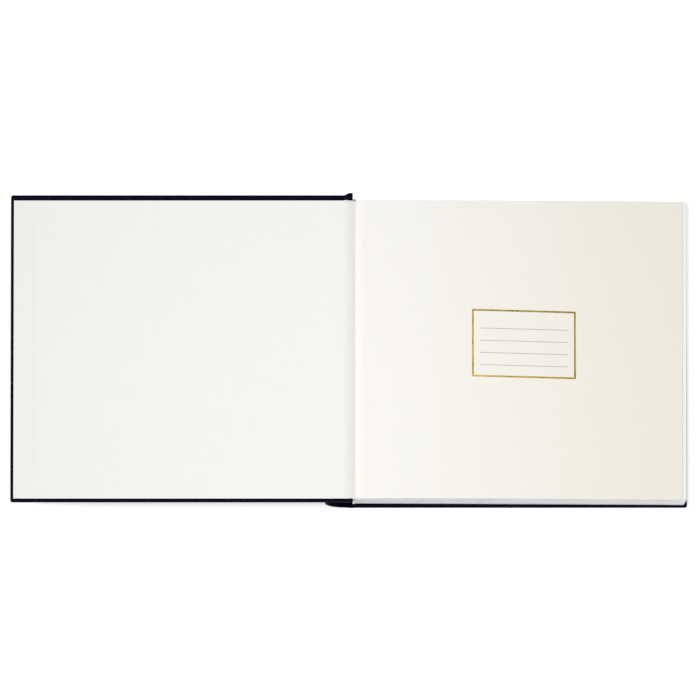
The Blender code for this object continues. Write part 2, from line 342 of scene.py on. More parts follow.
def make_mull():
    mull = Finish("cotton_mull", (0.72, 0.69, 0.6), 0.9)
    axes = mull.node("ShaderNodeSeparateXYZ")
    mull.link(mull.place(), axes.inputs["Vector"])
    waves = []
    for axis in ("Y", "Z"):
        turns = mull.maths("MULTIPLY", axes.outputs[axis], math.pi / (0.9 * MM))
        waves.append(mull.maths("ABSOLUTE", mull.maths("SINE", turns)))
    gauze = mull.maths("MAXIMUM", *waves)
    # Painted shade: the colour is darker in the open meshes between the threads.
    mull.colour(mull.ramp(gauze, 0.55, 0.95, (0.4, 0.36, 0.28), (0.8, 0.77, 0.69)))
    mull.bump(gauze, 0.2 * MM, 0.8)
    return mull.material


def make_kraft():
    kraft = Finish("kraft_lining", (0.36, 0.235, 0.13), 0.85)
    fibres = kraft.noise(kraft.place((3.0, 1.0, 3.0)), 600.0, 4.0, 0.7)
    kraft.colour(kraft.ramp(fibres, 0.3, 0.7, (0.26, 0.16, 0.085), (0.44, 0.3, 0.18)))
    kraft.bump(fibres, 0.06 * MM, 0.6)
    return kraft.material


def make_twisted(name, dark, light, pitch, roughness):
    """Thread or silk laid round a cord: slanting ridges along Y and Z."""
    thread = Finish(name, light, roughness)
    axes = thread.node("ShaderNodeSeparateXYZ")
    thread.link(thread.place(), axes.inputs["Vector"])
    slant = thread.maths("ADD", axes.outputs["Z"], thread.maths("MULTIPLY", axes.outputs["Y"], 0.6))
    ridge = thread.maths(
        "ABSOLUTE", thread.maths("SINE", thread.maths("MULTIPLY", slant, math.pi / pitch))
    )
    # Painted shade: the colour is darker in the grooves between the twists and lighter on the ridges.
    thread.colour(thread.ramp(ridge, 0.1, 0.8, dark, light))
    thread.bump(ridge, 0.08 * MM, 0.8)
    return thread.material


GREYBOARD = make_greyboard()
MULL = make_mull()
KRAFT = make_kraft()
SEWING_THREAD = make_twisted(
    "linen_thread", (0.5, 0.46, 0.37), (0.83, 0.8, 0.71), 0.35 * MM, 0.6
)
BAND_SILK = make_twisted("band_silk", (0.55, 0.54, 0.5), (0.88, 0.87, 0.83), 0.5 * MM, 0.45)
print("inner finishes", GREYBOARD.name, MULL.name, KRAFT.name)

# %% [markdown]
# ## Foil and ink
#
# The label on the free endpaper is a frame blocked in gold foil, and four grey writing lines. Foil is
# a metal with small changes in gloss where the die pressed harder. The ink is matt, and soaks into the
# paper unevenly.

# %% Foil and ink
def make_foil():
    foil = Finish("gold_foil", (0.36, 0.25, 0.025), 0.3, Metallic=1.0)
    spot = foil.place()
    press = foil.noise(spot, 120.0, 3.0, 0.6)
    foil.colour(foil.ramp(press, 0.35, 0.65, (0.29, 0.195, 0.014), (0.4, 0.285, 0.033)))
    foil.roughness(foil.stretch(press, 0.3, 0.7, 0.24, 0.36))
    foil.bump(foil.noise(spot, 2500.0, 2.0), 0.02 * MM, 0.5)
    return foil.material


def make_ink():
    ink = Finish("grey_ink", (0.43, 0.41, 0.365), 0.8, Specular_IOR_Level=0.2)
    soak = ink.noise(ink.place(), 700.0, 3.0, 0.6)
    ink.colour(ink.ramp(soak, 0.3, 0.7, (0.37, 0.35, 0.305), (0.49, 0.47, 0.42)))
    return ink.material


FOIL = make_foil()
INK = make_ink()
print("foil", FOIL.name, "ink", INK.name)

# %% [markdown]
# ## Helpers for shapes
#
# Pieces start as a bmesh and end as an object at the origin, with their place in their mesh.
# `sheet_strip` is the workhorse of this book: a one-row grid is laid along a path in XZ, which gives a
# thin strip with a real thickness, and the strip is then extruded from tail to head.

# %% Shape helpers
def finish_piece(name, bm, material, body=None, stands_for=()):
    """A bmesh becomes a named piece that rides on its body and stands for its CAD nodes."""
    bmesh.ops.remove_doubles(bm, verts=bm.verts, dist=1e-7)
    bmesh.ops.recalc_face_normals(bm, faces=bm.faces)
    mesh = bpy.data.meshes.new(name)
    bm.to_mesh(mesh)
    bm.free()
    mesh.materials.append(material)
    piece = bpy.data.objects.new(name, mesh)
    bpy.context.scene.collection.objects.link(piece)
    if body:
        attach(piece, body)
    if stands_for:
        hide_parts(*stands_for)
    return piece


def shade(piece, degrees=35.0):
    piece.data.shade_smooth()
    piece.data.set_sharp_from_angle(angle=math.radians(degrees))
    return piece


def block(low, high):
    """A box between two corners, to be cut and bevelled."""
    bm = bmesh.new()
    bmesh.ops.create_cube(bm, size=1.0)
    bmesh.ops.scale(bm, vec=Vector(high) - Vector(low), verts=bm.verts)
    bmesh.ops.translate(bm, vec=(Vector(high) + Vector(low)) / 2, verts=bm.verts)
    return bm


def cut_across(bm, axis, places):
    """Splits the faces of a bmesh on planes at the given places along an axis."""
    normal = Vector([float(k == axis) for k in range(3)])
    for place in places:
        geometry = bm.verts[:] + bm.edges[:] + bm.faces[:]
        bmesh.ops.bisect_plane(bm, geom=geometry, dist=1e-8, plane_co=normal * place, plane_no=normal)


def soften(bm, chosen, width, segments=3):
    bmesh.ops.bevel(
        bm, geom=list(chosen), offset=width, segments=segments, profile=0.5,
        affect="EDGES", material=-1, clamp_overlap=True,
    )


def sheet_strip(path, thickness, across):
    """A sheet along an XZ path of (x, z) points, of real thickness, extruded through Y stations."""
    bm = bmesh.new()
    count = len(path) - 1
    bmesh.ops.create_grid(bm, x_segments=count, y_segments=1, size=1.0)
    points = [Vector((x, 0.0, z)) for x, z in path]
    for vertex in bm.verts:
        index = round((vertex.co.x + 1.0) / 2.0 * count)
        before, after = points[max(0, index - 1)], points[min(count, index + 1)]
        along = (after - before).normalized()
        outwards = Vector((-along.z, 0.0, along.x))
        side = 0.5 if vertex.co.y > 0 else -0.5
        vertex.co = points[index] + outwards * (side * thickness) + Vector((0.0, across[0], 0.0))
    faces = bm.faces[:]
    for near, far in zip(across, across[1:]):
        grown = bmesh.ops.extrude_face_region(bm, geom=faces)["geom"]
        moved = [item for item in grown if isinstance(item, bmesh.types.BMVert)]
        bmesh.ops.translate(bm, vec=Vector((0.0, far - near, 0.0)), verts=moved)
        faces = [item for item in grown if isinstance(item, bmesh.types.BMFace)]
    return bm


def smooth_step(value, start, end):
    share = min(1.0, max(0.0, (value - start) / (end - start)))
    return share * share * (3.0 - 2.0 * share)


def stations(*stops):
    """Stations from (start, step), (start, step), ... to a last value, each stretch with its step."""
    found = []
    for (start, step), following in zip(stops, stops[1:]):
        end = following[0] if isinstance(following, tuple) else following
        count = max(1, round(abs(end - start) / step))
        found += [start + (end - start) * k / count for k in range(count)]
    return found + [stops[-1]]


def write_cloth_uv(piece, along=None):
    """A UV map in metres. along, if given, is a function of a point for its U, as over a spine."""
    layer = piece.data.uv_layers.new(name=CLOTH_UV)
    for polygon in piece.data.polygons:
        normal = polygon.normal
        flat = max(range(3), key=lambda k: abs(normal[k]))
        for loop in polygon.loop_indices:
            point = piece.data.vertices[piece.data.loops[loop].vertex_index].co
            if along:
                u, v = along(point), point.y
            else:
                u, v = ((point.y, point.z), (point.x, point.z), (point.x, point.y))[flat]
            layer.data[loop].uv = (u, v)


# %% [markdown]
# ## The covers
#
# A cover is a board with cloth drawn round its edges and glued down inside, a turn-in of about 15 mm.
# The cloth is modelled as cloth: the outside of a rounded block, opened over the middle of its
# inside, and given its half millimetre of thickness. The board stays a piece of its own inside it,
# so the case can be looked into from the joint, as on a real book.

# %% Covers
CLOTH_THICK = 0.5 * MM
TURN_IN = 15 * MM
ROUND_EDGE = 0.6 * MM
CORNER_ROUND = 1.6 * MM


def make_case_side(name, corners, side, body, node):
    """side is 1 for the back cover, whose fore edge is at +X, and -1 for the front one."""
    low, high = (corner.copy() for corner in corners)
    if side > 0:
        low.x -= CLOTH_THICK
    else:
        high.x += CLOTH_THICK
    bm = block(low, high)
    fore = high.x if side > 0 else low.x
    uprights = [
        e for e in bm.edges
        if all(abs(v.co.x - fore) < 1e-6 for v in e.verts)
        and abs(e.verts[0].co.y - e.verts[1].co.y) < 1e-6
    ]
    soften(bm, uprights, CORNER_ROUND, 5)
    soften(bm, [e for e in bm.edges if e.calc_face_angle() > 1.2], ROUND_EDGE, 3)
    cut_across(bm, 0, [fore - side * TURN_IN])
    cut_across(bm, 1, [low.y + TURN_IN, high.y - TURN_IN])
    window = [
        f for f in bm.faces
        if f.calc_center_median().z > high.z - 1e-6
        and abs(f.calc_center_median().x - fore) > TURN_IN
        and low.y + TURN_IN < f.calc_center_median().y < high.y - TURN_IN
    ]
    bmesh.ops.delete(bm, geom=window, context="FACES")
    piece = finish_piece(name, bm, BOOKCLOTH, None, [node])
    wall = piece.modifiers.new("cloth_thickness", "SOLIDIFY")
    wall.thickness = CLOTH_THICK
    wall.offset = -1.0
    shade(piece)
    write_cloth_uv(piece)
    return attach(piece, body)


make_case_side("back_cover_case", BACK, 1, "text_block", "back_cover_cloth")
make_case_side("front_cover_case", FRONT, -1, "front_cover", "front_cover_cloth")
print("covers", [round(side / MM, 1) for side in BACK[1] - BACK[0]], "mm each")

# %% [markdown]
# ## The spine
#
# The spine of a case is a strip of flexible board behind cloth, bent to an arc. The arc's centre and
# radius follow from three of its points in the frame: its two ends and its middle. The cloth is a
# strip along that arc. At head and tail it is turned in, so it is double there, and its edge is soft.

# %% Spine
def arc_through(first, middle, last):
    """Centre and radius of the circle through three (x, z) points."""
    (ax, az), (bx, bz), (cx, cz) = first, middle, last
    scale = 2.0 * (ax * (bz - cz) + bx * (cz - az) + cx * (az - bz))
    a2, b2, c2 = ax * ax + az * az, bx * bx + bz * bz, cx * cx + cz * cz
    x = (a2 * (bz - cz) + b2 * (cz - az) + c2 * (az - bz)) / scale
    z = (a2 * (cx - bx) + b2 * (ax - cx) + c2 * (bx - ax)) / scale
    return (x, z), math.hypot(ax - x, az - z)


def spine_arc():
    """The outer arc of the spine's cloth: centre, radius, and the angles of its lower and upper end."""
    points = {(round(v.co.x, 6), round(v.co.z, 6)) for v in frame["nodes"]["spine_cloth"].data.vertices}
    hinge = min(points, key=lambda p: math.hypot(p[0] - SPINE_AXIS.x, p[1] - SPINE_AXIS.z))
    far = max(points, key=lambda p: math.hypot(p[0] - hinge[0], p[1] - hinge[1]))
    middle = max(
        points,
        key=lambda p: abs((far[0] - hinge[0]) * (p[1] - hinge[1]) - (far[1] - hinge[1]) * (p[0] - hinge[0])),
    )
    centre, radius = arc_through(hinge, middle, far)
    low = math.atan2(hinge[1] - centre[1], hinge[0] - centre[0])
    high = math.atan2(far[1] - centre[1], far[0] - centre[0])
    return centre, radius, low, high if high < low else high - 2.0 * math.pi


SPINE_CENTRE, SPINE_RADIUS, SPINE_LOW, SPINE_HIGH = spine_arc()
CASE_TAIL, CASE_HEAD = SPINE[0].y, SPINE[1].y
SPINE_STEPS = 36


def on_spine(share, depth):
    """An (x, z) point on the spine, share 0 at the back joint and 1 at the front one."""
    turn = SPINE_LOW + (SPINE_HIGH - SPINE_LOW) * share
    reach = SPINE_RADIUS - depth
    return (SPINE_CENTRE[0] + reach * math.cos(turn), SPINE_CENTRE[1] + reach * math.sin(turn))


def around_spine(point):
    """How far round the spine a point is, in metres of cloth."""
    turn = math.atan2(point.z - SPINE_CENTRE[1], point.x - SPINE_CENTRE[0])
    if turn > 0.0:
        turn -= 2.0 * math.pi
    return (SPINE_LOW - turn) * SPINE_RADIUS


BOARD_ROOM = 1.5 * MM  # from the cloth's outer face to the flap inside the spine board
FLAP_LONG = 15 * MM


def spine_section():
    """Outline of the spine cloth as (depth, y): one layer, hooked round the board at both ends."""
    thick, inner = CLOTH_THICK, BOARD_ROOM + CLOTH_THICK
    hook = [
        (0.0, 0.6 * MM), (0.12 * MM, 0.2 * MM), (0.5 * MM, 0.0), (inner - 0.5 * MM, 0.0),
        (inner - 0.12 * MM, 0.2 * MM), (inner, 0.6 * MM), (inner, FLAP_LONG),
        (BOARD_ROOM + thick / 2, FLAP_LONG + 0.2 * MM), (BOARD_ROOM, FLAP_LONG),
        (BOARD_ROOM, thick), (thick, thick),
    ]
    at_head = [(depth, CASE_HEAD - y) for depth, y in hook]
    at_tail = [(depth, CASE_TAIL + y) for depth, y in reversed(hook)]
    return at_head + at_tail


def make_spine_cloth():
    bm = bmesh.new()
    ring = []
    for depth, y in spine_section():
        x, z = on_spine(0.0, depth)
        ring.append(bm.verts.new((x, y, z)))
    face = bm.faces.new(ring)
    bmesh.ops.spin(
        bm, geom=[face], cent=(SPINE_CENTRE[0], 0.0, SPINE_CENTRE[1]), axis=(0.0, 1.0, 0.0),
        angle=SPINE_LOW - SPINE_HIGH, steps=SPINE_STEPS, use_merge=False, use_duplicate=False,
    )
    piece = finish_piece("spine_case_cloth", bm, BOOKCLOTH, None, ["spine_cloth"])
    write_cloth_uv(shade(piece, 50.0), around_spine)
    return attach(piece, "spine")


make_spine_cloth()
print("spine radius", round(SPINE_RADIUS / MM, 2), "mm, from", round(math.degrees(SPINE_LOW)))

# %% [markdown]
# ## The joints
#
# Between a board and the spine the cloth is the hinge. The back joint lies flat on the table and runs
# up into the spine. The front joint starts at the spine's upper end and runs under the open cover to
# the edge of its board. Both are built in place at rest and follow no body. Where the cloth is turned
# in over the front joint, at head and tail, it bunches into a roll when the cover is open. At the head
# the roll stands a little proud of the cover.

# %% Joints
def make_joint_strip(name, path, node):
    bm = sheet_strip(path, CLOTH_THICK, stations((CASE_TAIL, 20 * MM), CASE_HEAD))
    piece = finish_piece(name, bm, BOOKCLOTH, None, [node])
    write_cloth_uv(shade(piece, 50.0))
    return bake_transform(piece)


half_cloth = CLOTH_THICK / 2
spine_foot = on_spine(0.0, half_cloth)
back_hinge_edge = BACK[0].x
back_path = [
    (back_hinge_edge - 0.1 * MM, half_cloth), (2.6 * MM, half_cloth), (1.2 * MM, half_cloth + 0.05 * MM),
    (0.2 * MM, half_cloth + 0.25 * MM), (-0.7 * MM, spine_foot[1] - 0.15 * MM), spine_foot,
]
back_joint_strip = make_joint_strip(
    "back_joint_strip", back_path, "back_joint_cloth"
)

spine_top = on_spine(1.0, half_cloth)
front_hinge_edge = FRONT[1].x
under_board = FRONT[0].z - half_cloth - 0.02 * MM
front_path = [spine_top, (spine_top[0] + 0.12 * MM, under_board - 0.06 * MM)]
front_path += [(x, under_board) for x in stations((spine_top[0] + 0.6 * MM, 1.5 * MM), front_hinge_edge)]
front_joint_strip = make_joint_strip(
    "front_joint_strip", front_path, "front_joint_cloth",
)

ROLL_END = 3.0 * MM


def make_joint_roll(name, inner_y, outer_y, flare, lift):
    """The bunched turn-in of the front joint, from the board's edge to ROLL_END."""
    start = front_hinge_edge - 0.2 * MM
    low = (start, min(inner_y, outer_y), FRONT[0].z + 0.1 * MM)
    high = (ROLL_END, max(inner_y, outer_y), FRONT[1].z - 0.1 * MM)
    bm = block(low, high)
    soften(bm, bm.edges[:], 0.45 * MM, 3)
    cut_across(bm, 0, [start + k * MM for k in range(1, 7)])
    middle = (inner_y + outer_y) / 2
    direction = 1.0 if outer_y > inner_y else -1.0
    for vertex in bm.verts:
        grown = smooth_step(vertex.co.x, start + 0.8 * MM, start + 4.6 * MM)
        outer = (vertex.co.y - middle) * direction > 0.0
        upper = vertex.co.z > (low[2] + high[2]) / 2
        if outer:
            vertex.co.y += direction * grown * flare
        elif upper:
            vertex.co.y -= direction * grown * 0.7 * flare
        if upper:
            vertex.co.z += lift * grown
    piece = finish_piece(name, bm, BOOKCLOTH, None)
    write_cloth_uv(shade(piece, 40.0))
    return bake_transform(piece)


make_joint_roll("joint_roll_head", HEAD + 0.5 * MM, CASE_HEAD, 1.5 * MM, 1.2 * MM)
make_joint_roll("joint_roll_tail", TAIL - 0.1 * MM, CASE_TAIL, 0.0, 0.35 * MM)

# %% [markdown]
# ## The paste-downs
#
# Half of each endpaper is pasted to its board. It covers the cut edges of the turn-ins, and sinks a
# little where they end, which leaves a faint step 15 mm inside the edges. The front one runs on over
# the joint, down into the gutter, to the fold that it shares with the free endpaper.

# %% Paste-downs
CREASE_X = 5.0 * MM
CREASE_DROP = 0.18 * MM
GUTTER_START = -3.4 * MM
STEP_DEPTH = 0.22 * MM
STEP_WIDE = 3.0 * MM


def ripple(x, y):
    """A slow unevenness of pasted or lying paper, from 0 to 1."""
    waves = math.sin(x / (23 * MM) + 1.7 * math.sin(y / (41 * MM)))
    return 0.5 + 0.25 * waves + 0.25 * math.sin(y / (29 * MM) + 1.3 * math.sin(x / (37 * MM)))


def make_pastedown(name, corners, fore, side, path_end, board, body, node):
    low, high = corners
    thick = high.z - low.z
    level = high.z - thick / 2
    steps = [0.0, 7 * MM, 12 * MM, 13 * MM, 14 * MM, 15 * MM, 16 * MM, 18 * MM]
    xs = [fore - side * step for step in steps]
    xs += stations((xs[-1] - side * 12 * MM, 14 * MM), path_end[0][0])[:-1]
    path = [(x, level) for x in xs] + path_end
    inner = steps[1:]
    ys = [low.y] + [low.y + s for s in inner]
    ys += stations((ys[-1] + 12 * MM, 14 * MM), high.y - inner[-1])[:-1]
    ys += [high.y - s for s in reversed(inner)] + [high.y]
    if path[0][0] > path[-1][0]:
        path = path[::-1]
    bm = sheet_strip(path, thick, ys)
    board_low, board_high = board
    board_fore = board_high.x if side > 0 else board_low.x
    for vertex in bm.verts:
        x, y = vertex.co.x, vertex.co.y
        inside = [abs(x - board_fore), y - board_low.y, board_high.y - y]
        sunk = 1.0
        for distance in inside:
            sunk *= smooth_step(distance, TURN_IN, TURN_IN + STEP_WIDE)
        if abs(x) > abs(path_end[0][0]):
            vertex.co.z -= STEP_DEPTH * sunk * (1.0 - 0.35 * ripple(x, y))
    piece = finish_piece(name, bm, ENDPAPER, None, [node])
    return shade(piece, 40.0)


pastedown_level = PASTEDOWN[1].z - (PASTEDOWN[1].z - PASTEDOWN[0].z) / 2
crease_z = settled(CREASE_X, between(TOP_LINE, CREASE_X, 2)) - CREASE_DROP
gutter_path = []
for x in stations((GUTTER_START, 0.7 * MM), CREASE_X):
    share = (x - GUTTER_START) / (CREASE_X - GUTTER_START)
    fall = share * share * (1.6 - 0.6 * share)
    gutter_path.append((x, pastedown_level - fall * (pastedown_level - crease_z)))
front_pastedown_sheet = make_pastedown(
    "front_pastedown_sheet", PASTEDOWN, PASTEDOWN[0].x, -1, gutter_path, FRONT, "front_cover",
    "front_pastedown",
)
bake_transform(front_pastedown_sheet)
back_level = BACK_PASTEDOWN[1].z - (BACK_PASTEDOWN[1].z - BACK_PASTEDOWN[0].z) / 2
back_pastedown_sheet = make_pastedown(
    "back_pastedown_sheet", BACK_PASTEDOWN, BACK_PASTEDOWN[1].x, 1,
    [(BACK_PASTEDOWN[0].x + d, back_level) for d in (4 * MM, 0.0)], BACK, "text_block",
    "back_pastedown",
)
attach(back_pastedown_sheet, "text_block")
print("paste-downs sink", round(STEP_DEPTH / MM, 2), "mm inside the turn-ins")

# %% [markdown]
# ## The free endpaper and the first leaf
#
# The other half of the front endpaper is free, and turns. It rises from the shared fold, rolls over
# the sewn edge of the block and follows the arch of the leaves to its fore edge, where the first white
# leaf under it shows as a narrow strip. Each is one bent sheet, built in place at rest, that follows
# no body and lifts in a curve from the gutter.

# %% Free endpaper and first leaf
LEAF_STEP = 12 * MM
SHEET_WAVE = 0.1 * MM


def make_turning_sheet(name, line, low_x, far_x, head_path, material, nodes, jitter):
    thick = line[-1][2] - line[-1][1]
    path = list(head_path)
    for x in stations((low_x, 1.2 * MM), (16 * MM, LEAF_STEP), far_x):
        path.append((x, settled(x, between(line, x, 2)) - thick / 2))
    bm = sheet_strip(path, thick, stations((TAIL, 14 * MM), HEAD))
    for vertex in bm.verts:
        lying = smooth_step(vertex.co.x, 10 * MM, 40 * MM)
        vertex.co.z += SHEET_WAVE * lying * ripple(vertex.co.x, vertex.co.y)
        if vertex.co.x > far_x - MM:
            vertex.co.x += jitter * math.sin(vertex.co.y / (61 * MM))
    piece = shade(finish_piece(name, bm, material, None, nodes), 40.0)
    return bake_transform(piece)


crest_of = settled(CREASE_X + 0.7 * MM, between(TOP_LINE, CREASE_X + 0.7 * MM, 2)) - 0.11 * MM
riser = [
    (CREASE_X + 0.02 * MM, crease_z + 0.02 * MM),
    (CREASE_X + 0.18 * MM, crease_z + 0.45 * (crest_of - crease_z)),
    (CREASE_X + 0.6 * MM, crease_z + 0.82 * (crest_of - crease_z)),
]
make_turning_sheet(
    "front_free_sheet", TOP_LINE, CREASE_X + 1.3 * MM, LEAVES[1].x, riser, FREE_ENDPAPER,
    ["front_free_endpaper", "front_endpaper_hinge"], 0.12 * MM,
)
make_turning_sheet(
    "first_leaf_sheet", WHITE_LINE, CREASE_X + 0.5 * MM, WHITE_LEAF[1].x, [], TEXT_PAPER,
    ["first_leaf", "first_leaf_fold"], 0.1 * MM,
)
print("free endpaper from", CREASE_X / MM, "to", round(LEAVES[1].x / MM, 1), "mm")

# %% [markdown]
# ## The sections
#
# A section is a few sheets folded once, one inside the other, and sewn through the fold. Each folded
# sheet is a strip on a path that runs in along its upper leaf, round the fold and out along its lower
# leaf. Four sheets give eight leaves. The lower sections stay with the block; the upper ones, which turn
# in the frame, are built in place and follow no body. Small seeded offsets keep the edges from being
# perfectly flush, as after a real trim.

# %% Sections
SHEETS = 4
AIR = 0.03 * MM
FOLD_POINTS = 4
trim = random.Random(11)


def section_nodes(number):
    name = f"section_{number:02d}"
    if name in frame["nodes"]:
        return [name], "text_block"
    return [f"{name}_fold", f"{name}_leaves"], f"section_{number:02d}"


def folded_sheet(line, depth, back, fore):
    """Path of one folded sheet; depth is how far it lies inside the section, from 0 to 0.5."""
    half = (between(line, back + MM, 2) - between(line, back + MM, 1)) / 2
    centre = back + half + 0.2 * MM
    xs = stations((centre, 1.4 * MM), (14 * MM, 16 * MM), fore)

    def leaf(x, share):
        top, bottom = between(line, x, 2), between(line, x, 1)
        return (x, settled(x, top + (bottom - top) * share))

    upper = [leaf(x, depth) for x in reversed(xs)]
    lower = [leaf(x, 1.0 - depth) for x in xs]
    radius = (upper[-1][1] - lower[0][1]) / 2
    middle = (upper[-1][1] + lower[0][1]) / 2
    fold = []
    for k in range(1, FOLD_POINTS):
        turn = math.pi / 2 + math.pi * k / FOLD_POINTS
        fold.append((centre + radius * math.cos(turn), middle + radius * math.sin(turn)))
    return upper + fold + lower


def make_section(number):
    nodes, body = section_nodes(number)
    line = leaf_line(*nodes)
    low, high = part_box(nodes[-1])
    lean = low.y - TAIL
    back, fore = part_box(nodes[0])[0].x, high.x
    thickness = between(line, fore, 2) - between(line, fore, 1)
    sheet_thick = thickness / (2 * SHEETS) - AIR
    whole = bmesh.new()
    for sheet in range(SHEETS):
        depth = (sheet + 0.5) / (2 * SHEETS)
        edge = fore - trim.uniform(0.0, 0.35) * MM
        tail, head = (end + trim.uniform(-0.12, 0.12) * MM for end in (TAIL, HEAD))
        bm = sheet_strip(folded_sheet(line, depth, back, edge), sheet_thick, [tail, 0.0, head])
        for vertex in bm.verts:
            vertex.co.y += lean * max(0.0, vertex.co.x) / fore
        part = bpy.data.meshes.new("sheet")
        bm.to_mesh(part)
        bm.free()
        whole.from_mesh(part)
        bpy.data.meshes.remove(part)
    piece = finish_piece(f"section_{number:02d}_sheets", whole, TEXT_PAPER, None, nodes)
    shade(piece, 40.0)
    if body == "text_block":
        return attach(piece, body)
    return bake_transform(piece)


sections = [make_section(number) for number in range(1, 13)]
print("sections", len(sections), "of", 2 * SHEETS, "leaves each")

# %% [markdown]
# ## The back free endpaper
#
# A cream sheet like the front one lies between the last section and the back cover. It shows only as
# a thin edge at head, tail and fore edge, and stays with the block.

# %% Back free endpaper
back_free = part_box("back_free_endpaper")
back_free_thick = back_free[1].z - back_free[0].z
back_free_middle = (back_free[0].z + back_free[1].z) / 2
back_free_path = [(x, back_free_middle) for x in stations((back_free[0].x, 16 * MM), back_free[1].x)]
bm = sheet_strip(back_free_path, back_free_thick, [TAIL, 0.0, HEAD])
for vertex in bm.verts:
    vertex.co.y += (back_free[0].y - TAIL) * max(0.0, vertex.co.x) / back_free[1].x
finish_piece(
    "back_free_sheet", bm, ENDPAPER, "text_block", ["back_free_endpaper"]
)
print("back free endpaper", round(back_free_thick / MM, 2), "mm thick")

# %% [markdown]
# ## Head and tail bands
#
# A band is silk wound over a core and stuck to the block's back at head and tail. A cylinder is cut
# into many rings, bent along the block's rounded back, and its radius swells at every turn of silk.

# %% Bands
BAND_TURNS = 24
BAND_FOOT = 0.3  # the silk stops above the rounded foot of the back, by this share of its length
BAND_SIDES = 10


def band_line(node):
    """The middle line of a band in the frame, as (x, z), and its y and radius."""
    low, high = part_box(node)
    rings = {}
    for vertex in frame["nodes"][node].data.vertices:
        rings.setdefault(round(vertex.co.z / MM, 0), []).append(vertex.co)
    line = []
    for key in sorted(rings):
        count = len(rings[key])
        line.append((sum(p.x for p in rings[key]) / count, sum(p.z for p in rings[key]) / count))
    return line, (low.y + high.y) / 2, (high.y - low.y) / 2


def along_line(line, share):
    place = share * (len(line) - 1)
    k = min(len(line) - 2, int(place))
    (x0, z0), (x1, z1) = line[k], line[k + 1]
    return Vector((x0 + (x1 - x0) * (place - k), 0.0, z0 + (z1 - z0) * (place - k)))


def make_band(node):
    line, y, radius = band_line(node)
    bm = bmesh.new()
    bmesh.ops.create_cone(
        bm, cap_ends=True, segments=BAND_SIDES, radius1=1.0, radius2=1.0, depth=1.0
    )
    count = BAND_TURNS * 4
    cut_across(bm, 2, [k / count - 0.5 for k in range(1, count)])
    for vertex in bm.verts:
        share = vertex.co.z + 0.5
        swell = 0.86 + 0.14 * abs(math.sin(share * BAND_TURNS * math.pi))
        ends = 0.75 + 0.25 * smooth_step(min(share, 1.0 - share), 0.0, 0.02)
        across = Vector((vertex.co.x, vertex.co.y, 0.0)) * (radius * swell * ends)
        vertex.co = along_line(line, BAND_FOOT + (1.0 - BAND_FOOT) * share) + across
        vertex.co.y += y
    piece = finish_piece(f"{node}_silk", bm, BAND_SILK, "text_block", [node])
    return shade(piece, 60.0)


bands = [make_band(node) for node in ("head_band", "tail_band")]
print("bands", [band.name for band in bands])

# %% [markdown]
# ## The label
#
# The owner's label is blocked on the free endpaper: a frame of gold foil with four writing lines in
# it. Both are thin films, so they are modelled as ribbons a few hundredths of a millimetre thick that
# follow the arch of the sheet. A ribbon starts as a block, is cut across so that it can bend, and its
# points are then set down on the paper.

# %% Label
LABEL_X, LABEL_Y = 129.0 * MM, 3.4 * MM
LABEL_WIDE, LABEL_TALL = 76.4 * MM, 50.8 * MM
FOIL_LINE = 1.25 * MM
FOIL_THICK = 0.03 * MM
RULE_LINE = 0.42 * MM
RULE_START, RULE_END = 96.7 * MM, 161.6 * MM
RULE_PITCH = 9.19 * MM
RULE_TOP = 14.6 * MM
LABEL_SLANT = -0.021


def on_sheet(x, y):
    """Height of the free endpaper's upper face."""
    lying = smooth_step(x, 10 * MM, 40 * MM)
    return between(TOP_LINE, x, 2) + SHEET_WAVE * lying * ripple(x, y)


def lay_down(bm, film):
    """Bends flat ribbons, drawn at height 0 to film, onto the sheet, with the label's slight slant."""
    for vertex in bm.verts:
        vertex.co.y += LABEL_SLANT * (vertex.co.x - LABEL_X)
        base = on_sheet(vertex.co.x, vertex.co.y) + 0.01 * MM
        vertex.co.z = base + (film if vertex.co.z > film / 2 else 0.0)


def make_foil_frame():
    left, right = LABEL_X - LABEL_WIDE / 2, LABEL_X + LABEL_WIDE / 2
    low, high = LABEL_Y - LABEL_TALL / 2, LABEL_Y + LABEL_TALL / 2
    bm = block((left, low, 0.0), (right, high, FOIL_THICK))
    cut_across(bm, 0, [left + FOIL_LINE, right - FOIL_LINE])
    cut_across(bm, 1, [low + FOIL_LINE, high - FOIL_LINE])
    inside = [
        f for f in bm.faces
        if left + FOIL_LINE < f.calc_center_median().x < right - FOIL_LINE
        and low + FOIL_LINE < f.calc_center_median().y < high - FOIL_LINE
    ]
    rims = [e for f in inside for e in f.edges]
    bmesh.ops.delete(bm, geom=inside, context="FACES_ONLY")
    bmesh.ops.bridge_loops(bm, edges=[e for e in set(rims) if e.is_valid])
    cut_across(bm, 0, stations((left, 5 * MM), right)[1:-1])
    cut_across(bm, 1, stations((low, 5 * MM), high)[1:-1])
    lay_down(bm, FOIL_THICK)
    return finish_piece("label_foil_frame", bm, FOIL, "front_free_leaf")


def make_rules():
    bm = bmesh.new()
    for k in range(4):
        y = RULE_TOP - k * RULE_PITCH
        line = block((RULE_START, y - RULE_LINE / 2, 0.0), (RULE_END, y + RULE_LINE / 2, FOIL_THICK))
        part = bpy.data.meshes.new("rule")
        line.to_mesh(part)
        line.free()
        bm.from_mesh(part)
        bpy.data.meshes.remove(part)
    cut_across(bm, 0, stations((RULE_START, 5 * MM), RULE_END)[1:-1])
    lay_down(bm, FOIL_THICK)
    return finish_piece("label_writing_lines", bm, INK, "front_free_leaf")


make_foil_frame()
make_rules()
print("label", LABEL_WIDE / MM, "by", LABEL_TALL / MM, "mm")

# %% [markdown]
# ## Finishes for the pieces that stay
#
# The boards, the mull, the paper lining and the sewing threads are right as they are in the frame.
# They keep their shape and only get a finish.

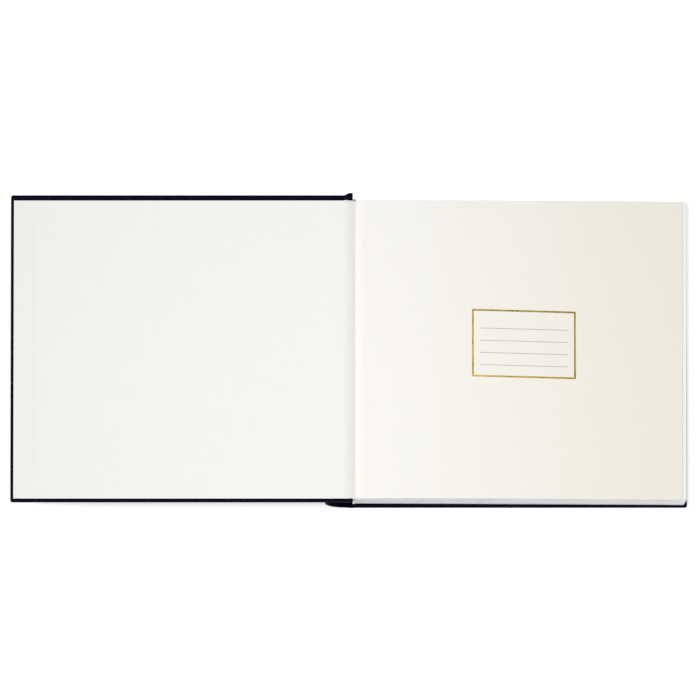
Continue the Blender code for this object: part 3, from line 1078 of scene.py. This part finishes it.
# %% Finishes for kept pieces
KEPT = {
    "front_board": GREYBOARD, "back_board": GREYBOARD, "spine_board": GREYBOARD,
    "spine_mull": MULL, "spine_lining": KRAFT,
    **{f"sewing_thread_{k}": SEWING_THREAD for k in range(1, 6)},
}
for name, material in KEPT.items():
    for material_slot in frame["nodes"][name].material_slots:
        material_slot.material = material
print("kept", len(KEPT), "pieces of the frame")

# %% [markdown]
# ## The table
#
# The book lies on a plain white table. A little glow of its own keeps it white between soft shadows,
# as an evenly lit studio sweep would be. It is part of the stage, so it doesn't belong to the book.

# %% Table
TABLE_SIZE = 30.0
TABLE_GLOW = 0.55


def make_table():
    white = Finish("white_table", (0.93, 0.93, 0.93), 0.9, Specular_IOR_Level=0.1)
    white.shader.inputs["Emission Color"].default_value = (1.0, 1.0, 1.0, 1.0)
    white.shader.inputs["Emission Strength"].default_value = TABLE_GLOW
    bm = bmesh.new()
    bmesh.ops.create_grid(bm, x_segments=1, y_segments=1, size=TABLE_SIZE / 2)
    mesh = bpy.data.meshes.new("table")
    bm.to_mesh(mesh)
    bm.free()
    mesh.materials.append(white.material)
    table = bpy.data.objects.new("table", mesh)
    bpy.context.scene.collection.objects.link(table)
    return table


table = make_table()
print("table", table.name, TABLE_SIZE, "m wide")

# %% [markdown]
# ## The light
#
# White walls and a dimmer ceiling make the paper read as paper. A large soft light above the gutter
# makes the sheets brightest there, and lets them fall off gently towards both fore edges. A second,
# much softer light from the low left gives the curve of the leaves its shading.

# %% Light
scene = bpy.context.scene
scene.view_settings.view_transform = "Standard"
scene.view_settings.look = "None"
CEILING, WALLS = 0.32, 1.0
WALLS_TOP, CEILING_EDGE = math.radians(8.0), math.radians(22.0)


def make_surround():
    """Bright walls and a dimmer ceiling: the strength depends on how high a direction points."""
    world = bpy.data.worlds.new("studio")
    world.use_nodes = True
    tree = world.node_tree
    direction = tree.nodes.new("ShaderNodeTexCoord")
    axes = tree.nodes.new("ShaderNodeSeparateXYZ")
    height = tree.nodes.new("ShaderNodeMapRange")
    height.interpolation_type = "SMOOTHSTEP"
    height.inputs["From Min"].default_value = math.sin(WALLS_TOP)
    height.inputs["From Max"].default_value = math.sin(CEILING_EDGE)
    height.inputs["To Min"].default_value = WALLS
    height.inputs["To Max"].default_value = CEILING
    tree.links.new(direction.outputs["Generated"], axes.inputs["Vector"])
    tree.links.new(axes.outputs["Z"], height.inputs["Value"])
    background = tree.nodes["Background"]
    background.inputs["Color"].default_value = (1.0, 1.0, 1.0, 1.0)
    tree.links.new(height.outputs["Result"], background.inputs["Strength"])
    return world


scene.world = make_surround()


def add_lamp(name, kind, energy, direction, place=(0.0, 0.0, 0.0), colour=(1.0, 1.0, 1.0), **settings):
    """A lamp that shines along a direction; settings are those of its kind of lamp."""
    lamp = bpy.data.lights.new(name, kind)
    lamp.energy = energy
    lamp.color = colour
    for setting, value in settings.items():
        setattr(lamp, setting, value)
    item = bpy.data.objects.new(name, lamp)
    item.location = place
    item.rotation_mode = "QUATERNION"
    item.rotation_quaternion = Vector(direction).to_track_quat("-Z", "Y")
    scene.collection.objects.link(item)
    return item


ABOVE_GUTTER = Vector((0.0, -0.1, 0.95))
lamps = [
    add_lamp("softbox_over_gutter", "AREA", 4.3, -ABOVE_GUTTER, ABOVE_GUTTER, shape="DISK", size=0.5),
    add_lamp(
        "low_left_light", "SUN", 1.62, (1.0, -0.15, -0.5), colour=(0.965, 0.982, 1.0),
        angle=math.radians(50.0),
    ),
]
print("lamps", [lamp.name for lamp in lamps])

# %% [markdown]
# ## The camera
#
# The camera looks down from the tail side through a very long lens, which keeps the book's edges
# parallel. It stands far off, and the width it should see gives the lens.

# %% Camera
ELEVATION = math.radians(78.0)
DISTANCE = 20.0
FIELD_WIDE = 0.5155
AIM = Vector((0.92, -1.45, 23.5)) * MM

lens = bpy.data.cameras.new("camera")
lens.sensor_width = 36.0
lens.lens = lens.sensor_width * DISTANCE / FIELD_WIDE
camera = bpy.data.objects.new("camera", lens)
backwards = Vector((0.0, -math.cos(ELEVATION), math.sin(ELEVATION)))
camera.location = AIM + backwards * DISTANCE
camera.rotation_mode = "QUATERNION"
camera.rotation_quaternion = (-backwards).to_track_quat("-Z", "Y")
scene.collection.objects.link(camera)
scene.camera = camera
print("camera", round(lens.lens, 1), "mm lens at", DISTANCE, "m")
